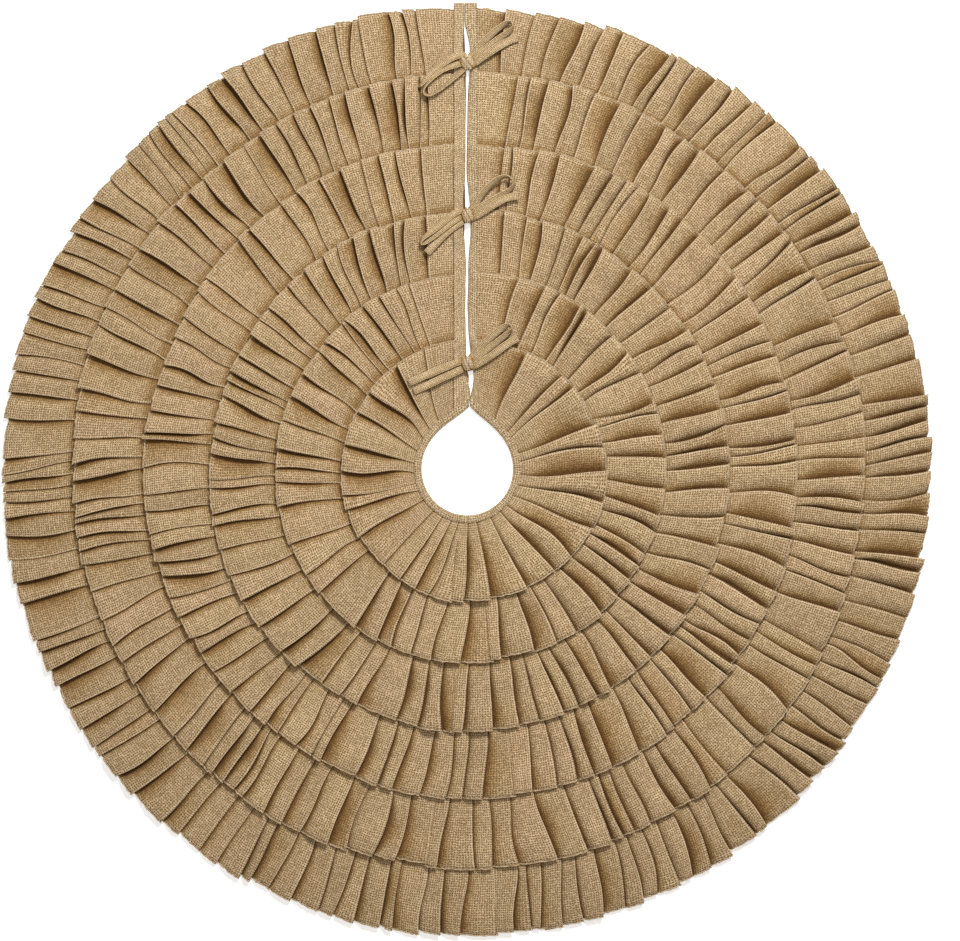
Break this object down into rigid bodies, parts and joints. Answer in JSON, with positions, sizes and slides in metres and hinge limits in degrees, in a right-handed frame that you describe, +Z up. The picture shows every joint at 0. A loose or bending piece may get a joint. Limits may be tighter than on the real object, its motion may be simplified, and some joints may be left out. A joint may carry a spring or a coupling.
{
  "type": "tree skirt",
  "caption": "Round skirt for the foot of a Christmas tree: lapped knife-pleated tiers on a lined cloth, a bound trunk opening and a slit closed with tied bows.",
  "frame": {"origin": "the middle of the trunk opening, on the floor", "axes": "+Z up, +Y from the trunk opening along the slit"},
  "size_m": [1.22, 1.22, 0.02],
  "materials": {
    "ruffle_cloth": "matte",
    "base_cloth": "matte",
    "lining_cloth": "matte",
    "binding_cloth": "matte",
    "facing_cloth": "matte",
    "tie_cloth": "matte"
  },
  "bodies": {
    "root": {"lining_back_left": "lining_cloth", "lining_back_right": "lining_cloth", "base_cloth_back_left": "base_cloth", "base_cloth_back_right": "base_cloth", "tier_1_back_left": "ruffle_cloth", "tier_1_back_right": "ruffle_cloth", "tier_2_back_left": "ruffle_cloth", "tier_2_back_right": "ruffle_cloth", "tier_3_back_left": "ruffle_cloth", "tier_3_back_right": "ruffle_cloth", "tier_4_back_left": "ruffle_cloth", "tier_4_back_right": "ruffle_cloth", "tier_5_back_left": "ruffle_cloth", "tier_5_back_right": "ruffle_cloth", "tier_6_back_left": "ruffle_cloth", "tier_6_back_right": "ruffle_cloth", "neck_binding_back_left": "binding_cloth", "neck_binding_back_right": "binding_cloth"},
    "flap_left": {"lining_flap_left": "lining_cloth", "base_cloth_flap_left": "base_cloth", "tier_1_flap_left": "ruffle_cloth", "tier_2_flap_left": "ruffle_cloth", "tier_3_flap_left": "ruffle_cloth", "tier_4_flap_left": "ruffle_cloth", "tier_5_flap_left": "ruffle_cloth", "tier_6_flap_left": "ruffle_cloth", "neck_binding_flap_left": "binding_cloth", "slit_facing_left": "facing_cloth", "tie_left_1": "tie_cloth", "tie_left_2": "tie_cloth", "tie_left_3": "tie_cloth"},
    "flap_right": {"lining_flap_right": "lining_cloth", "base_cloth_flap_right": "base_cloth", "tier_1_flap_right": "ruffle_cloth", "tier_2_flap_right": "ruffle_cloth", "tier_3_flap_right": "ruffle_cloth", "tier_4_flap_right": "ruffle_cloth", "tier_5_flap_right": "ruffle_cloth", "tier_6_flap_right": "ruffle_cloth", "neck_binding_flap_right": "binding_cloth", "slit_facing_right": "facing_cloth", "tie_right_1": "tie_cloth", "tie_right_2": "tie_cloth", "tie_right_3": "tie_cloth"}
  },
  "joints": [
    {"name": "flap_left_fold", "type": "hinge", "parent": "root", "child": "flap_left", "pos_m": [0, 0, 0.016], "axis": [0.866, -0.5, 0], "range_deg": [0, 160]},
    {"name": "flap_right_fold", "type": "hinge", "parent": "root", "child": "flap_right", "pos_m": [0, 0, 0.016], "axis": [0.866, 0.5, 0], "range_deg": [0, 160]}
  ]
}
